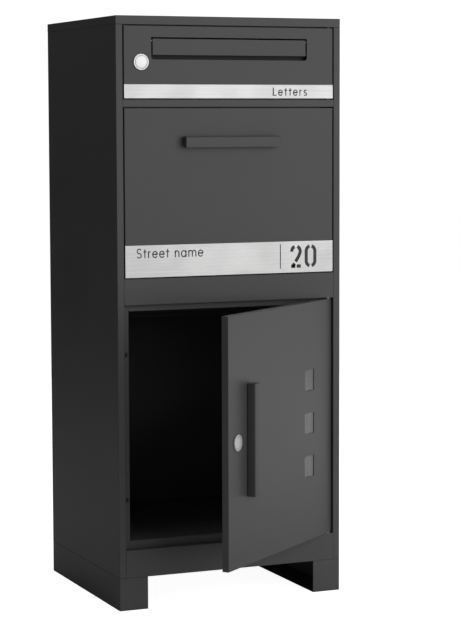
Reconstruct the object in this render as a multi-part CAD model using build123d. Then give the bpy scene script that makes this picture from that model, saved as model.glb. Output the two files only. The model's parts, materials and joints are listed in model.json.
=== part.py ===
from build123d import *
import math
import os

# Free-standing parcel letterbox of folded sheet steel, in millimetres.
# The origin is the centre of the footprint on the floor: the cabinet's front looks along -Y, +Z is up.
# The letter door, the parcel flap and the slot flap are shut, and the parcel door stands open.

# ---- driving sizes: the cabinet ----
width = 420.0
depth = 365.0
height = 1020.0
sheet = 1.2                    # folded steel sheet
fold = 1.0                     # outside radius of a fold that shows
seam = 0.8                     # rounding of a sheet edge where two panels meet
roof_lip = 15.0
foot_height = 56.5
foot_width = 52.0
pillar_width = 12.6            # front face of each side panel
stop_gap = 1.5                 # from the doors' backs to the stop flanges
stop_width = 11.9              # stop flange that shows past a pillar
rear_flange = 15.0
jamb_depth = 32.5              # how far the hinge-side return runs back
lower_rail_height = 48.3
middle_rail_height = 45.3
upper_rail_height = 13.0
rail_lip = 11.0                # stop lip above or below a rail
floor_rise = 14.2              # parcel floor above the lower rail
shelf_wall = 15.0              # turned-up side of the letter shelf
shelf_face = 22.0              # turned-down front of the letter shelf
baffle_reach = 120.0           # how far the baffle plate stands off the back
baffle_drop = 90.0             # how far the baffle plate falls to the back
top_rail_drop = 15.0

# ---- driving sizes: doors, flaps and strips ----
door_thickness = 12.0
side_gap = 1.9                 # beside every door
door_gap = 1.7                 # above and below every door
letter_door_height = 122.6
parcel_flap_height = 288.6
pivot_inset = 7.5              # door pivot in from the hinge-side edge
pivot_depth = 5.0              # door pivot behind the door's face
flap_pivot_rise = 12.0         # parcel flap pivot above its bottom edge
flap_pivot_depth = 4.8
parcel_door_open = 38.9        # degrees, as the parcel door stands
strip_thickness = 0.8
strip_ease = 0.2
letter_strip_height = 23.8
address_strip_height = 55.3
slot_width = 291.0
slot_height = 37.5
slot_drop = 19.3               # slot below the letter door's top edge
slot_corner = 4.0
slot_wall = 4.0                # wall of the frame behind the slot
finger_gap = 7.5               # open gap under the slot flap
slot_flap_gap = 2.4            # gap round the other edges of the slot flap
slot_flap_thickness = 1.5
slot_pivot_drop = 3.5
slot_pivot_depth = 4.0
slot_rod_radius = 1.5
slot_ear = 7.5
slot_tab = 8.0                 # stop tab in each lower corner of the slot frame
slot_tab_height = 4.0
slot_lip = 8.0                 # lip across the foot of the slot, at the back of its frame
window_size = 37.0
window_pitch = 76.0
window_inset = 90.0            # window centre in from the hinge-side edge
window_drop = 2.5              # middle window below the door's middle
pane_margin = 8.0
pane_thickness = 2.0

# ---- driving sizes: hopper behind the parcel flap ----
tray_length = 205.0
tray_slope = 27.0              # degrees below level when the flap is shut
tray_rise = 15.0               # tray's front edge above the flap's bottom edge
tray_lip = 10.0
wing_inset = 28.0              # hopper wings in from the cabinet's outside
wing_margin = 16.0             # wing corner below the flap's top edge
wing_back_angle = 42.0         # degrees above level where the wing's round edge ends

# ---- driving sizes: handles ----
handle_height = 18.5
handle_depth = 16.0
handle_wall = 1.5
handle_corner = 8.0            # round lower corner of a handle's end plates
flap_handle_length = 178.0
door_handle_length = 189.0
flap_handle_drop = 57.8        # handle centre below the flap's top edge
door_handle_inset = 74.0       # handle centre in from the free edge
handle_screw_inset = 22.0
screw_radius = 2.0
screw_head_radius = 4.0
screw_head = 2.0
screw_tip = 2.0

# ---- driving sizes: locks ----
lock_inset = 31.0              # lock axis in from the door's free edge
rosette_radius = 13.75
rosette_thickness = 1.2
barrel_radius = 9.0
plug_radius = 6.0
key_slot_width = 1.6
key_slot_height = 8.0
key_slot_depth = 8.0
cover_thickness = 1.0
cover_gap = 0.2
cover_groove = 0.25
groove_outer = 0.82            # outer radius of the groove, as a share of the cover's
groove_inner = 0.76
cover_pin_radius = 1.7
cover_pin_offset = 10.0
nut_radius = 12.0
nut_thickness = 2.4
cam_length = 31.5
cam_width = 14.0
cam_thickness = 2.0
cam_hole = 7.0
cam_gap = 0.6                  # cam behind the stop flange
cam_screw_radius = 4.5

# ---- driving sizes: pins, bushes, bolts and small parts ----
running = 0.05                 # radial running clearance of every pin
pin_radius = 2.5
pin_grip = 12.0                # pin inside the door
pin_reach = 3.0                # pin past the sheet that carries its bush
bush_wall = 1.0
bush_collar_radius = 4.6
bush_collar = 1.0
buffer_radius = 4.0
buffer_gap = 0.3
buffer_share = 0.2             # buffers in from a door's ends, as a share of its height
foot_bolt_radius = 3.0
foot_bolt_head_radius = 5.5
foot_bolt_head = 4.0
foot_bolt_tail = 4.0           # bolt end that shows past its nut
foot_bolt_offset = 100.0       # fore and aft of the middle
anchor_hole_radius = 4.25
anchor_edge_x = 26.0           # anchor hole in from the outside
anchor_edge_y = 42.5           # anchor hole in from front and back
wall_hole_radius = 4.25
wall_hole_edge = 60.0          # wall holes in from the sides
wall_hole_low = 240.0          # lower wall holes above the floor
wall_hole_high = 90.0          # upper wall holes below the roof's top
rivet_radius = 1.6
rivet_head_radius = 3.4
rivet_count = 5
rivet_end = 75.0
roof_screw_count = 3
roof_screw_end = 80.0

# ---- building margin ----
past = 1.0                     # how far a cutting tool runs past a face

# ---- levels worked out from the sizes above ----
left, right = -width / 2, width / 2
front, back = -depth / 2, depth / 2
skirt = foot_height
roof_seam = height - roof_lip
lower_rail_top = skirt + lower_rail_height
letter_top = roof_seam - door_gap
letter_bottom = letter_top - letter_door_height
upper_rail_top = letter_bottom - door_gap
upper_rail_bottom = upper_rail_top - upper_rail_height
flap_top = upper_rail_bottom - door_gap
flap_bottom = flap_top - parcel_flap_height
middle_rail_top = flap_bottom - door_gap
middle_rail_bottom = middle_rail_top - middle_rail_height
parcel_top = middle_rail_bottom - door_gap
parcel_bottom = lower_rail_top + door_gap
floor_top = lower_rail_top + floor_rise
shelf_top = upper_rail_top + sheet

door_back = front + door_thickness
stop_front = door_back + stop_gap
stop_back = stop_front + sheet
jamb_back = front + jamb_depth
opening = width / 2 - pillar_width          # half the clear opening between the pillars
door_half = opening - side_gap
inside = width / 2 - sheet                  # half the clear inside of the cabinet
panel_back = back - sheet                   # front face of the back panel
inner_back = panel_back - sheet             # front face of the rear flanges

pivot_x = door_half - pivot_inset
pivot_y = front + pivot_depth
swing = math.hypot(pivot_inset, door_thickness - pivot_depth)
lip_left = -(opening - stop_width)
lip_right = pivot_x - swing - sheet         # stop lips end clear of the doors' hinge edges
flap_pivot_y = front + flap_pivot_depth
flap_pivot_z = flap_bottom + flap_pivot_rise
flap_swing = math.hypot(flap_pivot_rise, door_thickness - flap_pivot_depth)
door_axis = Axis((pivot_x, pivot_y, 0), (0, 0, 1))
bush_radius = pin_radius + running + bush_wall

lock_x = -door_half + lock_inset
letter_lock_z = (letter_top + letter_bottom) / 2
parcel_middle_z = (parcel_top + parcel_bottom) / 2
cam_front = stop_back + cam_gap
barrel_back = cam_front - cover_gap

slot_top = letter_top - slot_drop
slot_bottom = slot_top - slot_height
slot_flap_top = slot_top - slot_flap_gap
slot_flap_bottom = slot_bottom + finger_gap
slot_flap_half = slot_width / 2 - slot_flap_gap
slot_pivot_y = front + slot_pivot_depth
slot_pivot_z = slot_flap_top - slot_pivot_drop
handle_foot = handle_height - handle_corner     # flange that lies on the door


# ---- helpers ----
def slab(x, y, z):
    """A box from three pairs of low and high values."""
    size = Box(x[1] - x[0], y[1] - y[0], z[1] - z[0])
    return Pos(sum(x) / 2, sum(y) / 2, sum(z) / 2) * size


def rod(radius, start, end):
    """A round bar between two points that differ along one axis only."""
    line = Vector(*end) - Vector(*start)
    return Plane(origin=start, z_dir=line.normalized()) * Cylinder(
        radius, line.length, align=(Align.CENTER, Align.CENTER, Align.MIN)
    )


def near(edge, x=None, y=None, z=None):
    """True where every point of an edge lies at the values given."""
    box = edge.bounding_box()
    for low, high, value in ((box.min.X, box.max.X, x), (box.min.Y, box.max.Y, y), (box.min.Z, box.max.Z, z)):
        if value is not None and (abs(low - value) > 1e-4 or abs(high - value) > 1e-4):
            return False
    return True


def across(points, low, high):
    """Prism along X from an outline of (y, z) points."""
    face = Plane.YZ * Face(Wire.make_polygon([(y, z, 0) for y, z in points], close=True))
    return Pos(low, 0, 0) * extrude(face, high - low, dir=(1, 0, 0))


def rounded(shape, radius, places):
    """Round the edges that lie at any of the places, each a dict of axis values."""
    edges = [e for e in shape.edges() if any(near(e, **place) for place in places)]
    return shape.fillet(radius, edges)


def mirrored(shape):
    """The same shape on the other side of the cabinet."""
    return mirror(shape, about=Plane.YZ)


def opened(shape):
    """The parcel door's pieces, turned from shut to where the door stands."""
    return shape.rotate(door_axis, parcel_door_open)


def save(name, *solids):
    """Write one piece, or a group of alike pieces, as its own file."""
    export_step(solids[0] if len(solids) == 1 else Compound(children=list(solids)), f"parts/{name}.step")


# ---- cabinet ----
def side_panel(with_stop):
    """Left-hand side panel; the stop flange is only on the doors' free side."""
    z = (skirt, roof_seam)
    shape = slab((left, left + sheet), (front, panel_back), z)
    shape += slab((left, -opening), (front, front + sheet), z)
    if with_stop:
        shape += slab((-opening - sheet, -opening), (front, stop_back), z)
        shape += slab((-opening - sheet, lip_left), (stop_front, stop_back), z)
        notch = (flap_pivot_z - flap_swing - past, flap_pivot_z + flap_swing)
        shape -= slab((-opening, lip_left + past), (stop_front - past, stop_back + past), notch)
    else:
        shape += slab((-opening - sheet, -opening), (front, jamb_back), z)
    shape += slab((left, left + rear_flange), (inner_back, panel_back), z)
    ledge = (left, left + foot_width), (jamb_back, inner_back), (skirt, skirt + sheet)
    shape += slab(*ledge)
    shape += slab((left, left + rear_flange), (jamb_back, inner_back), (roof_seam - sheet, roof_seam))
    shape = rounded(shape, fold, [dict(x=left, y=front), dict(x=-opening, y=front)])
    shape = rounded(shape, seam, [dict(x=left, z=skirt), dict(x=left, z=roof_seam)])
    shape -= rod(bush_radius, (left + sheet, flap_pivot_y, flap_pivot_z), (-opening + past, flap_pivot_y, flap_pivot_z))
    for y in (-foot_bolt_offset, foot_bolt_offset):
        x = left + anchor_edge_x
        shape -= rod(foot_bolt_radius, (x, y, skirt - past), (x, y, skirt + sheet + past))
    for y in roof_screw_places():
        x = left + rear_flange / 2
        shape -= rod(screw_radius, (x, y, roof_seam - sheet - past), (x, y, roof_seam + past))
    for z in rivet_places():
        x = left + rear_flange / 2
        shape -= rod(rivet_radius, (x, inner_back - past, z), (x, back, z))
    return shape


def roof_screw_places():
    """Fore-and-aft places of the screws that hold the roof cap down."""
    span = depth - 2 * roof_screw_end
    return [front + roof_screw_end + span * i / (roof_screw_count - 1) for i in range(roof_screw_count)]


def rivet_places():
    """Heights of the rivets down each edge of the back panel."""
    span = roof_seam - skirt - 2 * rivet_end
    return [skirt + rivet_end + span * i / (rivet_count - 1) for i in range(rivet_count)]


def roof_cap():
    """Shallow tray, open side down, with a flange turned in under its rim."""
    shape = slab((left, right), (front, back), (roof_seam, height))
    shape = rounded(shape, fold, [dict(z=height, x=left), dict(z=height, x=right), dict(z=height, y=front),
                                  dict(z=height, y=back), dict(x=left, y=front), dict(x=right, y=front)])
    shape = rounded(shape, seam, [dict(z=roof_seam, x=left), dict(z=roof_seam, x=right),
                                  dict(z=roof_seam, y=front), dict(z=roof_seam, y=back)])
    hollow = (left + sheet, right - sheet), (front + sheet, back - sheet), (roof_seam + sheet, height - sheet)
    shape -= slab(*hollow)
    flange = (roof_seam - past, roof_seam + sheet + past)
    shape -= slab((left + rear_flange, right - rear_flange), (jamb_back, back - rear_flange), flange)
    shape -= rod(bush_radius, *[(pivot_x, pivot_y, z) for z in flange])
    for side in (-1, 1):
        for y in roof_screw_places():
            x = side * (right - rear_flange / 2)
            shape -= rod(screw_radius, *[(x, y, z) for z in flange])
    return shape


def roof_screws():
    """Pan-head screws driven up through the side panels' top flanges."""
    low = roof_seam - sheet
    screws = []
    for side in (-1, 1):
        for y in roof_screw_places():
            x = side * (right - rear_flange / 2)
            head = rod(screw_head_radius, (x, y, low - screw_head), (x, y, low))
            screws.append(head + rod(screw_radius, (x, y, low), (x, y, roof_seam + sheet + screw_tip)))
    return screws


def back_panel():
    """Flat rear sheet with four holes for wall fixings."""
    shape = slab((left, right), (panel_back, back), (skirt, roof_seam))
    shape = rounded(shape, seam, [dict(x=left, y=back), dict(x=right, y=back),
                                  dict(z=skirt, y=back), dict(z=roof_seam, y=back)])
    for side in (-1, 1):
        for z in (height - wall_hole_high, wall_hole_low):
            x = side * (right - wall_hole_edge)
            shape -= rod(wall_hole_radius, (x, panel_back - past, z), (x, back + past, z))
        for z in rivet_places():
            x = side * (right - rear_flange / 2)
            shape -= rod(rivet_head_radius, (x, panel_back - past, z), (x, back + past, z))
    return shape


def back_rivets():
    """Flush rivets that hold the back panel to the side panels' rear flanges."""
    rivets = []
    for side in (-1, 1):
        for z in rivet_places():
            x = side * (right - rear_flange / 2)
            head = rod(rivet_head_radius, (x, panel_back, z), (x, back, z))
            rivets.append(head + rod(rivet_radius, (x, inner_back - screw_tip, z), (x, panel_back, z)))
    return rivets


def base_panel():
    """Bottom sheet on the side panels' ledges, cut back behind the front jambs."""
    z = (skirt + sheet, skirt + 2 * sheet)
    shape = slab((-inside, inside), (jamb_back, inner_back), z)
    shape += slab((-opening, opening), (stop_back, jamb_back), z)
    for side in (-1, 1):
        for y in (-foot_bolt_offset, foot_bolt_offset):
            x = side * (right - anchor_edge_x)
            shape -= rod(foot_bolt_radius, (x, y, z[0] - past), (x, y, z[1] + past))
    return shape


def rail(low, high, lip_up, lip_down):
    """Front rail: a face with both edges folded back, and a stop lip where one is wanted."""
    span = (-opening, opening)
    shape = slab(span, (front, front + sheet), (low, high))
    shape += slab(span, (front, stop_back), (low, low + sheet))
    shape += slab(span, (front, stop_back), (high - sheet, high))
    if lip_up:
        shape += slab((lip_left, lip_right), (stop_front, stop_back), (high - sheet, high + lip_up))
    if lip_down:
        shape += slab((lip_left, lip_right), (stop_front, stop_back), (low - lip_down, low + sheet))
    shape -= slab((-opening - past, lip_left), (stop_front, stop_back + past), (low - past, high + past))
    return rounded(shape, seam, [dict(y=front, z=low), dict(y=front, z=high)])


def pivot_hole(z):
    """Hole for a door's bush through a level sheet."""
    return rod(bush_radius, (pivot_x, pivot_y, z - 2 * sheet), (pivot_x, pivot_y, z + 2 * sheet))


def upper_rail():
    """Rail under the letter door, with stop lips for the door above and the flap below."""
    shape = rail(upper_rail_bottom, upper_rail_top, rail_lip, rail_lip)
    return shape - pivot_hole(upper_rail_top)


def middle_rail():
    """Rail under the parcel flap, with a stop lip for the parcel door."""
    shape = rail(middle_rail_bottom, middle_rail_top, 0, rail_lip)
    return shape - pivot_hole(middle_rail_bottom)


def lower_rail():
    """Plinth rail under the parcel door."""
    shape = rail(skirt, lower_rail_top, 0, 0)
    return shape - pivot_hole(lower_rail_top)


def top_stop_rail():
    """Angle under the roof's rim that stops the letter door's top edge."""
    shape = slab((lip_left, lip_right), (stop_front, stop_back), (roof_seam - top_rail_drop, roof_seam))
    return shape + slab((lip_left, lip_right), (stop_front, jamb_back), (roof_seam - sheet, roof_seam))


def letter_shelf():
    """Floor of the letter compartment, hung from the upper rail and the side panels."""
    shape = slab((-inside, inside), (jamb_back, inner_back), (upper_rail_top, shelf_top))
    shape += slab((-opening, opening), (stop_back, jamb_back), (upper_rail_top, shelf_top))
    low = upper_rail_top - shelf_face
    shape += slab((lip_left, lip_right), (stop_back, stop_back + sheet), (low, shelf_top))
    wall = slab((-inside, -inside + sheet), (jamb_back, inner_back), (upper_rail_top, shelf_top + shelf_wall))
    return shape + wall + mirrored(wall)


def baffle_plate():
    """Sloping plate under the letter shelf that keeps a hand from reaching down the back."""
    start = (inner_back - baffle_reach, upper_rail_top)
    end = (inner_back, upper_rail_top - baffle_drop)
    slope = math.atan2(baffle_drop, baffle_reach)
    rise = sheet / math.sin(slope)
    fall = sheet / math.cos(slope)
    outline = [start, (start[0] + rise, start[1]), end, (end[0], end[1] - fall)]
    half = inside - shelf_wall
    return across(outline, -half, half)


def parcel_floor():
    """Raised floor of the parcel compartment with three edges turned down."""
    low = lower_rail_top
    shape = slab((-inside, inside), (jamb_back, inner_back), (floor_top - sheet, floor_top))
    shape += slab((lip_left, lip_right), (stop_front, jamb_back), (floor_top - sheet, floor_top))
    shape += slab((lip_left, lip_right), (stop_front, stop_back), (low, floor_top))
    shape += slab((-inside, inside), (inner_back - sheet, inner_back), (low, floor_top))
    wall = slab((-inside, -inside + sheet), (jamb_back, inner_back), (low, floor_top))
    shape += wall + mirrored(wall)
    return rounded(shape, seam, [dict(y=stop_front, z=floor_top)])


def foot():
    """Left foot: a channel open towards the middle, closed at both ends."""
    shape = slab((left, left + foot_width), (front, back), (0, skirt))
    shape = rounded(shape, fold, [dict(x=left, y=front), dict(x=left, y=back)])
    shape = rounded(shape, seam, [dict(x=left, z=skirt), dict(y=front, z=skirt), dict(y=back, z=skirt)])
    shape -= slab((left + sheet, left + foot_width + past), (front + sheet, back - sheet), (sheet, skirt - sheet))
    x = left + anchor_edge_x
    for y in (front + anchor_edge_y, back - anchor_edge_y):
        shape -= rod(anchor_hole_radius, (x, y, -past), (x, y, sheet + past))
    for y in (-foot_bolt_offset, foot_bolt_offset):
        shape -= rod(foot_bolt_radius, (x, y, skirt - sheet - past), (x, y, skirt + past))
    return shape


def foot_bolts():
    """Hexagon bolts up through the feet, the ledges and the base panel."""
    bolts = []
    low, high = skirt - sheet, skirt + 2 * sheet + foot_bolt_head + foot_bolt_tail
    for side in (-1, 1):
        for y in (-foot_bolt_offset, foot_bolt_offset):
            x = side * (right - anchor_edge_x)
            head = Pos(x, y, low - foot_bolt_head) * extrude(RegularPolygon(foot_bolt_head_radius, 6), foot_bolt_head)
            bolts.append(head + rod(foot_bolt_radius, (x, y, low), (x, y, high)))
    return bolts


def foot_nuts():
    """Hexagon nuts on the foot bolts, above the base panel."""
    nuts = []
    low = skirt + 2 * sheet
    for side in (-1, 1):
        for y in (-foot_bolt_offset, foot_bolt_offset):
            x = side * (right - anchor_edge_x)
            body = Pos(x, y, low) * extrude(RegularPolygon(foot_bolt_head_radius, 6), foot_bolt_head)
            nuts.append(body - rod(foot_bolt_radius, (x, y, low - past), (x, y, low + foot_bolt_head + past)))
    return nuts


def bush(start, inward):
    """Collared bush for a pivot pin: start is on the sheet's door side, inward points into the sheet."""
    start, inward = Vector(*start), Vector(*inward)
    collar = rod(bush_collar_radius, tuple(start - inward * bush_collar), tuple(start))
    sleeve = rod(bush_radius, tuple(start), tuple(start + inward * (sheet + bush_collar)))
    ends = start - inward * (bush_collar + past), start + inward * (sheet + bush_collar + past)
    return collar + sleeve - rod(pin_radius + running, *[tuple(end) for end in ends])


def hinge_bushes():
    """Two bushes for each hinged door or flap."""
    bushes = [bush((pivot_x, pivot_y, z), (0, 0, 1)) for z in (roof_seam, middle_rail_bottom)]
    bushes += [bush((pivot_x, pivot_y, z), (0, 0, -1)) for z in (upper_rail_top, lower_rail_top)]
    bushes += [bush((side * opening, flap_pivot_y, flap_pivot_z), (side, 0, 0)) for side in (-1, 1)]
    return bushes


def door_buffers():
    """Rubber pads on the stop flange, two behind the free edge of each door or flap."""
    x = lip_left - stop_width / 2
    reach = stop_front - door_back - buffer_gap
    pads = []
    for low, high in ((letter_bottom, letter_top), (flap_bottom, flap_top), (parcel_bottom, parcel_top)):
        margin = (high - low) * buffer_share
        for z in (low + margin, high - margin):
            pads.append(rod(buffer_radius, (x, stop_front - reach, z), (x, stop_front, z)))
    return pads


# ---- doors ----
def door_skin(low, high):
    """Outer tray of a door, open at the back."""
    shape = slab((-door_half, door_half), (front, door_back), (low, high))
    shape = rounded(shape, fold, [dict(y=front, x=-door_half), dict(y=front, x=door_half),
                                  dict(y=front, z=low), dict(y=front, z=high)])
    inner = door_half - sheet
    return shape - slab((-inner, inner), (front + sheet, door_back + past), (low + sheet, high - sheet))


def door_pan(low, high):
    """Flat inner sheet that closes a door's tray."""
    inner = door_half - sheet
    return slab((-inner, inner), (door_back - sheet, door_back), (low + sheet, high - sheet))


def door_pins(low, high):
    """Top and bottom pivot pins of a side-hung door."""
    grip = pin_grip
    reach = door_gap + sheet + pin_reach
    return [rod(pin_radius, (pivot_x, pivot_y, low - reach), (pivot_x, pivot_y, low + grip)),
            rod(pin_radius, (pivot_x, pivot_y, high - grip), (pivot_x, pivot_y, high + reach))]


def cut_all(shape, tools):
    """Take every tool away from a shape."""
    for tool in tools:
        shape -= tool
    return shape


def strip(low, high):
    """Thin facing strip across the foot of a door, with eased front edges."""
    shape = slab((-door_half, door_half), (front - strip_thickness, front), (low, high))
    places = [dict(y=front - strip_thickness, z=low), dict(y=front - strip_thickness, z=high),
              dict(y=front - strip_thickness, x=-door_half), dict(y=front - strip_thickness, x=door_half)]
    return rounded(shape, strip_ease, places)


def slot_prism(margin, y):
    """Slot outline grown by a margin and run through a range of depths, with round lower corners."""
    half = slot_width / 2 + margin
    shape = slab((-half, half), y, (slot_bottom - margin, slot_top + margin))
    places = [dict(x=-half, z=slot_bottom - margin), dict(x=half, z=slot_bottom - margin)]
    return rounded(shape, slot_corner + margin, places)


def letter_door_skin():
    """Letter door's tray with its slot, lock hole and pin holes."""
    shape = door_skin(letter_bottom, letter_top) - slot_prism(0, (front - past, front + sheet + past))
    shape -= rod(barrel_radius, (lock_x, front - past, letter_lock_z), (lock_x, door_back, letter_lock_z))
    return cut_all(shape, door_pins(letter_bottom, letter_top))


def letter_door_pan():
    """Letter door's inner sheet, cut out round the slot frame and the lock."""
    shape = door_pan(letter_bottom, letter_top) - slot_prism(slot_wall, (front, door_back + past))
    return shape - rod(barrel_radius, (lock_x, front, letter_lock_z), (lock_x, door_back + past, letter_lock_z))


def slot_frame():
    """Frame that lines the slot, carries the flap's rod and stops its lower corners, with a lip along its foot."""
    span = (front + sheet, door_back)
    shape = slot_prism(slot_wall, span) - slot_prism(0, (front, door_back + past))
    flap_back = front + slot_flap_thickness
    half = slot_width / 2
    for side in (-1, 1):
        x = sorted((side * half, side * (half - slot_tab)))
        tab_front = flap_back + buffer_gap
        low = slot_flap_bottom + seam
        shape += slab(x, (tab_front, tab_front + slot_flap_thickness), (low, low + slot_tab_height))
    lip = slab((-half - seam, half + seam), (door_back - sheet, door_back), (slot_bottom - seam, slot_bottom + slot_lip))
    shape += lip
    reach = half + slot_wall
    return shape - rod(slot_rod_radius + running, (-reach - past, slot_pivot_y, slot_pivot_z),
                       (reach + past, slot_pivot_y, slot_pivot_z))


def slot_flap():
    """Flap plate with an ear at each end for its rod."""
    half = slot_flap_half
    shape = slab((-half, half), (front, front + slot_flap_thickness), (slot_flap_bottom, slot_flap_top))
    shape = rounded(shape, slot_flap_thickness / 3, [dict(y=front, z=slot_flap_bottom), dict(y=front, z=slot_flap_top),
                                                     dict(y=front, x=-half), dict(y=front, x=half)])
    for side in (-1, 1):
        x = sorted((side * half, side * (half - slot_flap_thickness)))
        ear = slab(x, (front + sheet, slot_pivot_y + slot_pivot_drop), (slot_flap_top - slot_ear, slot_flap_top - seam))
        shape += ear
    return shape - slot_flap_rod()


def slot_flap_rod():
    """Rod that the slot flap swings on."""
    reach = slot_width / 2 + slot_wall - running
    return rod(slot_rod_radius, (-reach, slot_pivot_y, slot_pivot_z), (reach, slot_pivot_y, slot_pivot_z))


# ---- locks ----
def lock_housing(z):
    """Cam lock body with its round front flange, bored for the plug and the cover's pin."""
    shape = rod(rosette_radius, (lock_x, front - rosette_thickness, z), (lock_x, front, z))
    shape = rounded(shape, rosette_thickness / 3, [dict(y=front - rosette_thickness)])
    shape += rod(barrel_radius, (lock_x, front, z), (lock_x, barrel_back, z))
    shape -= rod(plug_radius + running, (lock_x, front - rosette_thickness - past, z), (lock_x, barrel_back + past, z))
    pin_z = z + cover_pin_offset
    pin_start = front - rosette_thickness - past
    return shape - rod(cover_pin_radius + running, (lock_x, pin_start, pin_z), (lock_x, front, pin_z))


def lock_nut(z):
    """Hexagon nut on the lock body, behind the door."""
    body = Plane(origin=(lock_x, door_back, z), z_dir=(0, 1, 0)) * RegularPolygon(nut_radius, 6)
    return extrude(body, nut_thickness) - rod(barrel_radius, (lock_x, front, z), (lock_x, barrel_back + past, z))


def lock_plug(z):
    """Turning plug with a key slot in front and a square tail for the cam."""
    shape = rod(plug_radius, (lock_x, front - rosette_thickness, z), (lock_x, barrel_back, z))
    half = key_slot_width / 2
    face = front - rosette_thickness
    tall = key_slot_height / 2
    shape -= slab((lock_x - half, lock_x + half), (face - past, face + key_slot_depth), (z - tall, z + tall))
    tail = cam_hole / 2
    cam_back = cam_front + cam_thickness
    shape += slab((lock_x - tail, lock_x + tail), (barrel_back, cam_back), (z - tail, z + tail))
    return shape - rod(screw_radius, (lock_x, front + key_slot_depth, z), (lock_x, cam_back + past, z))


def lock_cam(z):
    """Flat cam hanging down from the plug's tail, clear of the stop flange until it is turned."""
    half = cam_width / 2
    tail = cam_hole / 2
    cam_back = cam_front + cam_thickness
    shape = slab((lock_x - half, lock_x + half), (cam_front, cam_back), (z - cam_length, z))
    shape = rounded(shape, half / 2, [dict(x=lock_x - half, z=z - cam_length), dict(x=lock_x + half, z=z - cam_length)])
    shape += rod(half, (lock_x, cam_front, z), (lock_x, cam_back, z))
    return shape - slab((lock_x - tail, lock_x + tail), (cam_front - past, cam_back + past), (z - tail, z + tail))


def cam_screw(z):
    """Pan-head screw that clamps the cam on the plug."""
    cam_back = cam_front + cam_thickness
    shank = rod(screw_radius, (lock_x, front + key_slot_depth, z), (lock_x, cam_back, z))
    return shank + rod(cam_screw_radius, (lock_x, cam_back, z), (lock_x, cam_back + screw_head, z))


def dust_cover(z):
    """Blank disc over the key slot, hung on its own pin in the lock's flange."""
    back_y = front - rosette_thickness - cover_gap
    front_y = back_y - cover_thickness
    shape = rod(rosette_radius, (lock_x, front_y, z), (lock_x, back_y, z))
    shape = rounded(shape, cover_thickness / 3, [dict(y=front_y)])
    groove = (lock_x, front_y - past, z), (lock_x, front_y + cover_groove, z)
    ring = rod(rosette_radius * groove_outer, *groove) - rod(rosette_radius * groove_inner, *groove)
    pin_z = z + cover_pin_offset
    return shape - ring + rod(cover_pin_radius, (lock_x, back_y, pin_z), (lock_x, front - cover_gap, pin_z))


# ---- handles ----
def handle(length):
    """Grip along +X with its middle at the origin: it stands on the plane y = 0 and opens downwards."""
    half, tall = length / 2, handle_height / 2
    shape = slab((-half, half), (-handle_depth, 0), (-tall, tall))
    shape = rounded(shape, fold, [dict(y=-handle_depth, z=tall), dict(y=-handle_depth, z=-tall),
                                  dict(y=-handle_depth, x=-half), dict(y=-handle_depth, x=half)])
    shape = rounded(shape, handle_corner, [dict(y=0, z=-tall)])
    inner = half - handle_wall
    shape -= slab((-inner, inner), (-handle_depth + handle_wall, -handle_wall), (-tall - past, tall - handle_wall))
    shape -= slab((-inner, inner), (-handle_wall - past, past), (-tall - past, tall - handle_foot))
    return shape


def handle_holes(length):
    """Places of the two screws along a handle."""
    return [-length / 2 + handle_screw_inset, length / 2 - handle_screw_inset]


def placed_on_flap(shape):
    """A handle piece moved to its place on the parcel flap."""
    return Pos(0, front, flap_top - flap_handle_drop) * shape


def placed_on_door(shape):
    """A handle piece turned upright, its closed side to the free edge, on the shut parcel door."""
    return Pos(-door_half + door_handle_inset, front, parcel_middle_z) * (Rot(0, -90, 0) * shape)


def handle_screws(length):
    """Screws from behind the door into the flange that lies on the door's face."""
    z = handle_height / 2 - handle_foot / 2
    screws = []
    for x in handle_holes(length):
        head = rod(screw_head_radius, (x, door_thickness, z), (x, door_thickness + screw_head, z))
        screws.append(head + rod(screw_radius, (x, -handle_wall - screw_tip, z), (x, door_thickness, z)))
    return screws


# ---- parcel flap and hopper ----
def flap_pins():
    """Stub pins at the flap's two ends."""
    reach = side_gap + sheet + pin_reach
    pins = []
    for side in (-1, 1):
        ends = [(side * (door_half + step), flap_pivot_y, flap_pivot_z) for step in (-pin_grip, reach)]
        pins.append(rod(pin_radius, *ends))
    return pins


def parcel_flap_skin():
    """Parcel flap's tray with pin and handle-screw holes."""
    shape = cut_all(door_skin(flap_bottom, flap_top), flap_pins())
    return cut_all(shape, [placed_on_flap(s) for s in handle_screws(flap_handle_length)])


def parcel_flap_pan():
    """Parcel flap's inner sheet."""
    return cut_all(door_pan(flap_bottom, flap_top), [placed_on_flap(s) for s in handle_screws(flap_handle_length)])


def tray_point(along, off):
    """Point (y, z) a distance along the tray's slope and off its upper face."""
    angle = math.radians(tray_slope)
    y = door_back + along * math.cos(angle) + off * math.sin(angle)
    z = flap_bottom + tray_rise - along * math.sin(angle) + off * math.cos(angle)
    return y, z


def hopper_tray():
    """Sloping tray that carries a parcel while the flap is open, with a lip folded down at its end."""
    half = right - wing_inset - sheet
    top_front = (door_back, flap_bottom + tray_rise)
    low_front = (door_back, flap_bottom + tray_rise - sheet / math.cos(math.radians(tray_slope)))
    plate = across([top_front, tray_point(tray_length, 0), tray_point(tray_length, -sheet), low_front], -half, half)
    end, inner = tray_length, tray_length - sheet
    lip = across([tray_point(end, 0), tray_point(end, -tray_lip), tray_point(inner, -tray_lip), tray_point(inner, 0)],
                 -half, half)
    return plate + lip


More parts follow.
